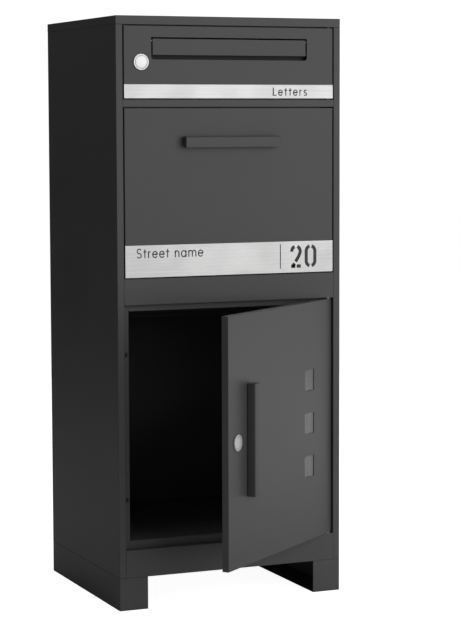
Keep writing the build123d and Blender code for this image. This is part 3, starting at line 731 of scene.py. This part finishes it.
@dataclass
class LockFace:
    """Round front of a cam lock: a flange with a rolled edge, and the blank cover that hangs before it."""

    housing: str
    cover: str
    door: Body
    swing: Body
    turn: Matrix
    label: str
    edge: float = 0.4 * MM
    dome: float = 0.2 * MM
    groove: float = 0.3 * MM
    groove_at: float = 0.79
    groove_width: float = 0.05
    pin_radius: float = 1.7 * MM
    pin_offset: float = 10.0 * MM
    cover_gap: float = 0.2 * MM
    rim_inset: float = 0.2 * MM
    plug_bore: float = 6.05 * MM
    barrel: float = 9.0 * MM
    flange: float = 1.2 * MM
    rim_steps: int = 6

    def build(self) -> List[Piece]:
        """Turn both pieces on the lathe.

        Returns:
            The flange and the cover.
        """
        return [self.build_housing(), self.build_cover()]

    def build_housing(self) -> Piece:
        """Flange and barrel round the plug's bore.

        Returns:
            The housing.
        """
        low, high = shut_box(self.housing, self.turn)
        radius = (high[0] - low[0]) / 2
        bore = self.plug_bore
        front_face = [(bore, high[1]), (bore, low[1] + self.edge / 2), (bore + self.edge / 2, low[1])]
        back_face = [(radius, low[1] + self.flange), (self.barrel, low[1] + self.flange),
                     (self.barrel, high[1]), (bore, high[1])]
        profile = np.vstack([front_face, rolled_rim(radius, self.edge, low[1], self.rim_steps), back_face])
        middle = (low + high) / 2 * (1, 0, 1)
        piece = Solid().lathe(profile, at=middle).make(f"{self.label}_lock_flange", self.turn)
        return place(piece, CHROME, self.door, self.housing)

    def build_cover(self) -> Piece:
        """Slightly domed blank disc with a turned ring, and its pin behind.

        The face is y = y0 + dome (r / R)^2, cut back by a ring of cosine section.

        Returns:
            The cover.
        """
        low, high = shut_box(self.cover, self.turn)
        radius = (high[0] - low[0]) / 2
        back = shut_box(self.housing, self.turn)[0][1] - self.cover_gap
        flat = np.linspace(0, radius - self.edge, 60)
        ring = np.clip(1 - np.abs(flat / radius - self.groove_at) / self.groove_width, 0, 1)
        face = low[1] + self.dome * (flat / radius) ** 2 + self.groove * 0.5 * (1 - np.cos(np.pi * ring))
        rim = rolled_rim(radius, self.edge, low[1] + self.dome, self.rim_steps)
        closing = np.array([(radius, back - self.rim_inset), (radius - self.rim_inset, back), (0, back)])
        profile = np.vstack([np.column_stack([flat, face]), rim, closing])
        middle = (low + high) / 2 * (1, 0, 1)
        root = back - self.rim_inset / 2
        pin = np.array([(0, root), (self.pin_radius, root), (self.pin_radius, high[1]), (0, high[1])])
        solid = Solid().lathe(profile, at=middle)
        solid.lathe(pin, sides=32, at=middle + (0, 0, self.pin_offset))
        piece = solid.make(f"{self.label}_cover_disc", self.turn)
        return place(piece, CHROME, self.swing, self.cover)


def loose_parts(node: str, turn: Matrix) -> List[Array]:
    """Split a CAD node into its separate solids.

    Points that share a place are merged, then each point takes the lowest label among its triangle
    neighbours until nothing changes.

    Args:
        node: the CAD node.
        turn: the turn that is taken off its points.

    Returns:
        One array of points for each solid.
    """
    points = shut_points(node, turn)
    places, index = np.unique(np.round(points, 6), axis=0, return_inverse=True)
    index = index.reshape(-1)
    mesh = NODES[node].data
    edges = np.empty(len(mesh.edges) * 2, dtype=np.int64)
    mesh.edges.foreach_get("vertices", edges)
    ends = index[edges].reshape(-1, 2)
    label = np.arange(len(places))
    while True:
        lower = label.copy()
        least = label[ends].min(axis=1)
        np.minimum.at(lower, ends[:, 0], least)
        np.minimum.at(lower, ends[:, 1], least)
        if (lower == label).all():
            break
        label = lower
    return [places[label == value] for value in np.unique(label)]


@dataclass
class Hardware:
    """Small turned and hexagonal pieces: screws, bolts, nuts, rivets, pins, bushes and pads.

    Each CAD solid gives its place, axis and outer radius, and each is remade with eased rims, hexagon
    faces or a socket.
    """

    node: str
    body: Body
    finish: Finish
    head: float = 0.0
    shank: float = 0.0
    bore: float = 0.0
    socket: float = 0.0
    hexed: bool = False
    dome: float = 0.0
    ease: float = 0.35 * MM
    turn: Matrix = field(default_factory=lambda: STILL)
    keep: Callable[[Array], bool] = lambda middle: True
    label: str = "turned"
    sides: int = 48
    rim_steps: int = 5
    crown_steps: int = 7
    socket_share: float = 0.6
    mouth: float = 0.2
    chamfer: float = 1.6
    hexagon: float = math.cos(math.pi / 6)

    def axis_of(self, size: Array) -> int:
        """The axis whose two other sizes are equal, or are a hexagon's two widths.

        Args:
            size: the solid's three sizes.

        Returns:
            0, 1 or 2.
        """
        misfits = []
        for axis in range(3):
            pair = sorted(np.delete(size, axis))
            ratio = pair[0] / pair[1]
            misfits.append(min(abs(ratio - 1), abs(ratio - self.hexagon)))
        return int(np.argmin(misfits))

    def profile(self, radius: float, length: float) -> Array:
        """Rows of (radius, distance from the head end, hexagon share).

        The rim is a quarter circle, the head's crown is dome (1 - (r / R)^2) high, and a hexagon
        starts from a chamfer.

        Args:
            radius: outer radius.
            length: overall length.

        Returns:
            Array of shape (n, 3).
        """
        hexed = 1.0 if self.hexed else 0.0
        ease, shoulder = self.ease, self.head or length
        rows: List[Triple] = []
        inner = self.bore or self.socket
        if self.bore:
            rows += [(self.bore, ease, 0), (self.bore + ease, 0, 0)]
        elif self.socket:
            depth = self.head * self.socket_share
            rows += [(0, depth, 1), (self.socket, depth, 1), (self.socket, self.dome * self.mouth + ease / 2, 1)]
        else:
            rows += [(0, 0, 0)]
        if self.hexed:
            rows += [(radius * self.hexagon, 0, 0), (radius, ease * self.chamfer, 1)]
        else:
            crown = np.linspace(inner + ease if inner else radius / 6, radius - ease, self.crown_steps + 1)[1:]
            rows += [(r, self.dome * (r / radius) ** 2, 0) for r in crown]
            rows += [(r, y, 0) for r, y in rolled_rim(radius, ease, self.dome, self.rim_steps)[1:].tolist()]
        small = min(ease, shoulder / 4)
        rows += [(radius, shoulder - small, hexed), (radius - small, shoulder, hexed)]
        if self.head and self.head < length:
            rows += [(self.shank, shoulder, 0), (self.shank, length - ease, 0), (self.shank - ease, length, 0)]
        rows += [(self.bore, length, 0)]
        return np.array(rows)

    def build(self) -> Piece:
        """Remake every solid of the node that is kept.

        Returns:
            The piece.
        """
        solid = Solid()
        for points in loose_parts(self.node, self.turn):
            low, high = points.min(axis=0), points.max(axis=0)
            middle, size = (low + high) / 2, high - low
            if not self.keep(middle):
                continue
            axis = self.axis_of(size)
            across = np.delete(points - middle, axis, axis=1)
            reach = np.linalg.norm(across, axis=1)
            at_low = points[:, axis] < low[axis] + self.ease
            at_high = points[:, axis] > high[axis] - self.ease
            head_high = bool(self.head) and reach[at_high].max() > reach[at_low].max() + self.ease / 2
            start, towards = (high[axis], -1) if head_high else (low[axis], 1)
            rows = self.profile(reach.max(), size[axis])
            made = Solid().lathe(rows, sides=self.sides, closed=bool(self.bore))
            made_points = made.points[0]
            placed = np.empty_like(made_points)
            placed[:, axis] = start + towards * made_points[:, 1]
            others = [k for k in range(3) if k != axis]
            flat = self.hexed and size[others[0]] < size[others[1]]
            placed[:, others[0]] = middle[others[0]] + made_points[:, 2 if flat else 0]
            placed[:, others[1]] = middle[others[1]] + made_points[:, 0 if flat else 2]
            solid.merge(made.faces, placed)
        piece = solid.make(f"{self.node}_{self.label}", self.turn)
        return place(piece, self.finish, self.body, self.node)


# ---------------------------------------------------------------- lettering


Stroke = Array


def line(*spots: Tuple[float, float]) -> Stroke:
    """Straight strokes through a few spots, as an array of shape (n, 2)."""
    return np.array(spots, float)


def arc(x: float, y: float, rx: float, ry: float, first: float, last: float, steps: int = 20) -> Stroke:
    """Elliptic stroke: (x + rx cos a, y + ry sin a) from the first angle to the last, in degrees."""
    angle = np.radians(np.linspace(first, last, steps))
    return np.column_stack([x + rx * np.cos(angle), y + ry * np.sin(angle)])


def letter_strokes() -> Dict[str, Tuple[float, List[Stroke]]]:
    """Strokes of each letter that the strips need, with the letter's advance.

    The capital height is 1, small letters are 0.7 high, and round letters are arcs of one ellipse.

    Returns:
        Letter to (advance, strokes).
    """
    bowl = arc(0.30, 0.35, 0.28, 0.35, 0, 360, 40)
    arch = [line((0.05, 0.7), (0.05, 0.0)), arc(0.27, 0.42, 0.22, 0.28, 180, 0), line((0.49, 0.42), (0.49, 0.0))]
    second = [arc(0.71, 0.42, 0.22, 0.28, 180, 0), line((0.93, 0.42), (0.93, 0.0))]
    return {
        " ": (0.32, []),
        "L": (0.55, [line((0.06, 1.0), (0.06, 0.0), (0.48, 0.0))]),
        "S": (0.66, [np.vstack([arc(0.31, 0.75, 0.23, 0.25, 35, 260), arc(0.31, 0.25, 0.25, 0.25, 80, -150)])]),
        "a": (0.70, [bowl, line((0.58, 0.7), (0.58, 0.0))]),
        "e": (0.66, [np.vstack([line((0.03, 0.37), (0.58, 0.37)), arc(0.30, 0.35, 0.28, 0.35, 4, 320, 40)])]),
        "m": (1.04, arch + second),
        "n": (0.60, arch),
        "r": (0.36, [line((0.05, 0.7), (0.05, 0.0)), arc(0.27, 0.42, 0.22, 0.28, 180, 95)]),
        "s": (0.52, [np.vstack([arc(0.23, 0.53, 0.17, 0.17, 40, 260), arc(0.23, 0.18, 0.19, 0.18, 80, -145)])]),
        "t": (0.38, [line((0.16, 0.92), (0.16, 0.0)), line((0.0, 0.68), (0.34, 0.68))]),
    }


def figure_strokes() -> Dict[str, Tuple[float, List[Stroke]]]:
    """Stencil figures with open bridges, one unit high.

    Returns:
        Figure to (advance, strokes).
    """
    hook = np.vstack([arc(0.27, 0.71, 0.20, 0.215, 72, -24, 14), line((0.40, 0.50), (0.25, 0.27))])
    wedge = line((0.205, 0.20), (0.155, 0.125), (0.10, 0.075), (0.04, 0.075))
    side = np.vstack([arc(0.27, 0.71, 0.205, 0.215, 76, 0, 12), arc(0.27, 0.29, 0.205, 0.215, 0, -76, 12)])
    other = np.column_stack([0.54 - side[:, 0], side[:, 1]])
    return {
        "2": (0.60, [arc(0.27, 0.71, 0.20, 0.215, 182, 108, 10), hook, wedge,
                     line((0.10, 0.075), (0.24, 0.075)), line((0.30, 0.075), (0.50, 0.075))]),
        "0": (0.62, [side, other]),
    }


@dataclass
class Lettering:
    """Words or figures laid on a door's face as thin raised print."""

    label: str
    text: str
    left: float
    baseline: float
    height: float
    weight: float
    tracking: float
    finish: Finish
    rounded_ends: bool = True
    lift: float = 0.12 * MM
    end_reach: float = 0.35
    end_share: float = 0.45

    def ribbon(self, stroke: Stroke, solid: Solid, place_at: Array, y: float) -> None:
        """Lay one stroke as a raised ribbon of constant width.

        Its edges stand half the weight off the stroke along the mean normal of the two runs at each point.

        Args:
            stroke: the stroke in letter units.
            solid: what it is added to.
            place_at: where the letter's corner lies, as (x, z).
            y: the face that it lies on.
        """
        path = stroke * self.height + place_at
        run = np.gradient(path, axis=0)
        run /= np.linalg.norm(run, axis=1, keepdims=True)
        normal = np.column_stack([-run[:, 1], run[:, 0]])
        steps = np.diff(path, axis=0)
        steps /= np.linalg.norm(steps, axis=1, keepdims=True)
        cosine = np.ones(len(path))
        cosine[1:-1] = np.sqrt((1 + np.clip((steps[1:] * steps[:-1]).sum(axis=1), -0.9, 1)) / 2)
        offset = normal * (self.weight / 2 / cosine)[:, None]
        if self.rounded_ends:
            past = self.weight * self.end_reach
            path = np.vstack([path[0] - run[0] * past, path, path[-1] + run[-1] * past])
            offset = np.vstack([offset[0] * self.end_share, offset, offset[-1] * self.end_share])
        left, right = path + offset, path - offset
        section = [(left, y), (left, y - self.lift), (right, y - self.lift), (right, y)]
        rows = [np.column_stack([edge[:, 0], np.full(len(edge), depth), edge[:, 1]]) for edge, depth in section]
        rows = np.stack(rows, axis=1)
        solid.grid(rows, close_columns=True).cap(rows[0][::-1]).cap(rows[-1])

    def build(self, y: float, body: Body) -> Piece:
        """Lay all the letters in a line.

        Args:
            y: the face that they lie on.
            body: what they ride on.

        Returns:
            The print.
        """
        glyphs = {**letter_strokes(), **figure_strokes()}
        solid, pen = Solid(), self.left
        for letter in self.text:
            advance, strokes = glyphs[letter]
            for stroke in strokes:
                self.ribbon(stroke, solid, np.array([pen, self.baseline]), y)
            pen += (advance + self.tracking) * self.height
        return place(solid.make(self.label, STILL), self.finish, body)


@dataclass
class Signs:
    """Print on the two facing strips: a word, a name line, a dividing line and a house number."""

    word_left: float = 80 * MM
    word_base: float = 5.4 * MM
    word_height: float = 13.0 * MM
    word_weight: float = 1.805 * MM
    word_tracking: float = 0.26
    name_left: float = -175 * MM
    name_base: float = 34.0 * MM
    name_height: float = 15.0 * MM
    name_weight: float = 1.9 * MM
    name_tracking: float = 0.18
    number_left: float = 113 * MM
    number_base: float = 8.2 * MM
    number_height: float = 41.0 * MM
    number_weight: float = 6.0 * MM
    number_tracking: float = 0.09
    divider_at: float = 94 * MM
    divider_width: float = 1.7 * MM
    divider_base: float = 7.5 * MM
    divider_height: float = 43 * MM

    def build(self) -> List[Piece]:
        """Lay the print on both strips.

        Returns:
            The four prints.
        """
        upper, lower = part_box("letter_strip")[0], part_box("address_strip")[0]
        word = Lettering("letter_word", "Letters", self.word_left, upper.z + self.word_base, self.word_height,
                         self.word_weight, self.word_tracking, PRINT)
        name = Lettering("name_line", "Street name", self.name_left, lower.z + self.name_base, self.name_height,
                         self.name_weight, self.name_tracking, PRINT)
        number = Lettering("house_number", "20", self.number_left, lower.z + self.number_base, self.number_height,
                           self.number_weight, self.number_tracking, NUMBER, rounded_ends=False)
        return [word.build(upper.y, Body.LETTER_DOOR), name.build(lower.y, Body.PARCEL_FLAP),
                number.build(lower.y, Body.PARCEL_FLAP), self.divider(lower)]

    def divider(self, corner: Vector) -> Piece:
        """Thin upright line beside the number.

        Args:
            corner: the lower strip's lowest corner.

        Returns:
            The line.
        """
        base = corner.z + self.divider_base
        stroke = line((0, 0), (0, 0.5), (0, 1))
        rule = Lettering("dividing_line", "", 0, 0, self.divider_height, self.divider_width, 0, PRINT,
                         rounded_ends=False)
        solid = Solid()
        rule.ribbon(stroke, solid, np.array([self.divider_at, base]), corner.y)
        return place(solid.make(rule.label, STILL), PRINT, Body.PARCEL_FLAP)


# ---------------------------------------------------------------- studio


@dataclass(frozen=True)
class Card:
    """Soft rectangular light: where it stands, what it points at, its width and height, and its power in watts."""

    name: str
    spot: Triple
    aim: Triple
    size: Tuple[float, float]
    power: float

    def build(self) -> None:
        """Add the light to the scene."""
        data = bpy.data.lights.new(self.name, "AREA")
        data.shape = "RECTANGLE"
        data.size, data.size_y = self.size
        data.energy = self.power
        lamp = bpy.data.objects.new(self.name, data)
        lamp.location = self.spot
        lamp.rotation_euler = (Vector(self.aim) - Vector(self.spot)).to_track_quat("-Z", "Y").to_euler()
        bpy.context.scene.collection.objects.link(lamp)


@dataclass
class Studio:
    """Pale floor, soft lights and the camera."""

    lens: float = 121.192332
    yaw: float = 23.029
    pitch: float = 5.262
    roll: float = 0.188
    stand: Triple = (-1.4308, -3.5458, 0.8455)
    film: float = 36.0
    floor_rings: Tuple[float, ...] = (0.01, 1.0, 4.0, 16.0, 60.0)
    floor_grey: float = 0.8
    floor_glow: float = 0.94
    fade_start: float = 1.2
    fade_end: float = 4.0
    sky_glow: float = 0.13
    sky_white: float = 1.05

    def build(self) -> None:
        """Make the floor, the lights, the sky and the camera."""
        self.floor()
        self.lights()
        self.sky()
        self.camera()

    def floor(self) -> None:
        """Level pale floor that turns even white with distance, where only the camera sees its glow."""
        around = np.linspace(0, 2 * np.pi, 65)[:-1]
        circle = np.column_stack([np.cos(around), np.sin(around), 0 * around])
        points = np.stack([radius * circle for radius in self.floor_rings])
        solid = Solid().grid(points, close_columns=True).cap(points[0])
        floor = solid.make("pale_floor", STILL)
        if floor.data.polygons[0].normal.z < 0:
            floor.data.flip_normals()
        pale = bpy.data.materials.new("pale_floor")
        pale.use_nodes = True
        w = Wiring(pale.node_tree)
        reach = w.add("ShaderNodeVectorMath", operation="LENGTH")
        w.join(w.stretched(), reach.inputs[0])
        fade = w.span(reach.outputs["Value"], self.fade_start, self.fade_end)
        seen = w.add("ShaderNodeLightPath").outputs["Is Camera Ray"]
        glow = w.scaled(fade, 1.0 - self.floor_glow, self.floor_glow)
        w.fill(w.find("BSDF_PRINCIPLED"), {
            "Base Color": w.blend(fade, (self.floor_grey,) * 3, (0.0, 0.0, 0.0)), "Roughness": 0.9,
            "Specular IOR Level": 0.0, "Emission Color": (1, 1, 1, 1),
            "Emission Strength": w.math("MULTIPLY", glow, seen)})
        floor.data.materials.append(pale)

    def lights(self) -> None:
        """A broad card at the front right, two cards at the right, one behind, and a faint top light."""
        Card("front_card", (1.3, -3.0, 1.15), (0, 0, 0.7), (3.2, 2.4), 45).build()
        Card("right_card", (1.7, 0.1, 0.9), (0, 0.1, 0.9), (1.6, 1.78), 4).build()
        Card("low_card", (2.2, 0.2, 0.01), (2.2, 0.2, 1.0), (2.4, 1.6), 10).build()
        Card("back_card", (0.98, 3.0, 1.3), (0.9, 0, 1.0), (2.4, 2.4), 26).build()
        Card("top_light", (0.4, -0.4, 3.2), (0, 0, 0), (1.5, 1.5), 8).build()

    def sky(self) -> None:
        """Even surround that shows white to the camera and lights faintly."""
        world = bpy.data.worlds.new("white_surround")
        bpy.context.scene.world = world
        world.use_nodes = True
        w = Wiring(world.node_tree)
        seen = w.add("ShaderNodeLightPath").outputs["Is Camera Ray"]
        strength = w.span(seen, 0, 1, self.sky_glow, self.sky_white)
        w.fill(w.find("BACKGROUND"), {"Color": (1, 1, 1, 1), "Strength": strength})

    def camera(self) -> None:
        """Camera solved from the cabinet's corners: yaw about Z, then pitch down, then a little roll."""
        data = bpy.data.cameras.new("camera")
        data.sensor_fit = "VERTICAL"
        data.sensor_height = self.film
        data.lens = self.lens
        data.clip_end = 100
        camera = bpy.data.objects.new("camera", data)
        level = Matrix.Rotation(math.radians(90), 4, "X")
        yaw = Matrix.Rotation(math.radians(-self.yaw), 4, "Z")
        pitch = Matrix.Rotation(math.radians(-self.pitch), 4, "X")
        roll = Matrix.Rotation(math.radians(-self.roll), 4, "Z")
        camera.matrix_world = Matrix.Translation(Vector(self.stand)) @ yaw @ level @ pitch @ roll
        bpy.context.scene.collection.objects.link(camera)
        bpy.context.scene.camera = camera


# ---------------------------------------------------------------- the whole


def hardware(opened: Matrix) -> List[Hardware]:
    """Every turned or hexagonal node and how it is remade.

    Args:
        opened: the turn of the parcel door's pieces.

    Returns:
        The list, in building order.
    """
    screw = dict(head=2.0 * MM, shank=2.0 * MM, socket=1.5 * MM, dome=0.5 * MM)
    low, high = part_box("parcel_door_skin")
    reach = 10 * MM

    def beside(middle: Array) -> bool:
        """Whether a bush stands at the parcel door's height."""
        return low.z - reach < middle[2] < high.z + reach

    nut = dict(bore=9.0 * MM, hexed=True)
    bush = dict(head=1.0 * MM, shank=3.55 * MM, bore=2.55 * MM, ease=0.2 * MM)
    return [
        Hardware("roof_screws", Body.CABINET, ZINC, **screw),
        Hardware("back_rivets", Body.CABINET, ZINC, head=1.2 * MM, shank=1.6 * MM, dome=0.15 * MM),
        Hardware("foot_bolts", Body.CABINET, ZINC, head=4.0 * MM, shank=3.0 * MM, hexed=True),
        Hardware("foot_nuts", Body.CABINET, ZINC, bore=3.0 * MM, hexed=True),
        Hardware("hinge_bushes", Body.CABINET, ZINC, keep=beside, label="plated", **bush),
        Hardware("hinge_bushes", Body.CABINET, BLACK_PLASTIC, keep=lambda middle: not beside(middle), label="black",
                 **bush),
        Hardware("door_buffers", Body.CABINET, RUBBER, dome=0.2 * MM),
        Hardware("letter_door_pins", Body.LETTER_DOOR, ZINC),
        Hardware("letter_lock_nut", Body.LETTER_DOOR, ZINC, **nut),
        Hardware("slot_flap_rod", Body.SLOT_FLAP, ZINC),
        Hardware("letter_cam_screw", Body.LETTER_LOCK, ZINC, **screw),
        Hardware("parcel_flap_pins", Body.PARCEL_FLAP, ZINC),
        Hardware("flap_handle_screws", Body.PARCEL_FLAP, ZINC, **screw),
        Hardware("parcel_door_pins", Body.PARCEL_DOOR, ZINC),
        Hardware("door_handle_screws", Body.PARCEL_DOOR, ZINC, turn=opened, **screw),
        Hardware("parcel_lock_nut", Body.PARCEL_DOOR, ZINC, turn=opened, **nut),
        Hardware("parcel_cam_screw", Body.PARCEL_LOCK, ZINC, turn=opened, **screw),
    ]


def main() -> None:
    """Build the studio and every piece, in order."""
    logging.basicConfig(level=logging.INFO, format="%(message)s")
    bpy.context.scene.view_settings.view_transform = "Standard"
    opened = parcel_door_turn()
    Studio().build()
    dress_cad_nodes()
    Handle("flap_handle", Body.PARCEL_FLAP, STILL, upright=False).build()
    Handle("door_handle", Body.PARCEL_DOOR, opened, upright=True).build()
    LockFace("letter_lock_housing", "letter_dust_cover", Body.LETTER_DOOR, Body.LETTER_COVER, STILL, "letter").build()
    LockFace("parcel_lock_housing", "parcel_dust_cover", Body.PARCEL_DOOR, Body.PARCEL_COVER, opened, "parcel").build()
    for item in hardware(opened):
        item.build()
    Signs().build()


if __name__ == "__main__":
    main()
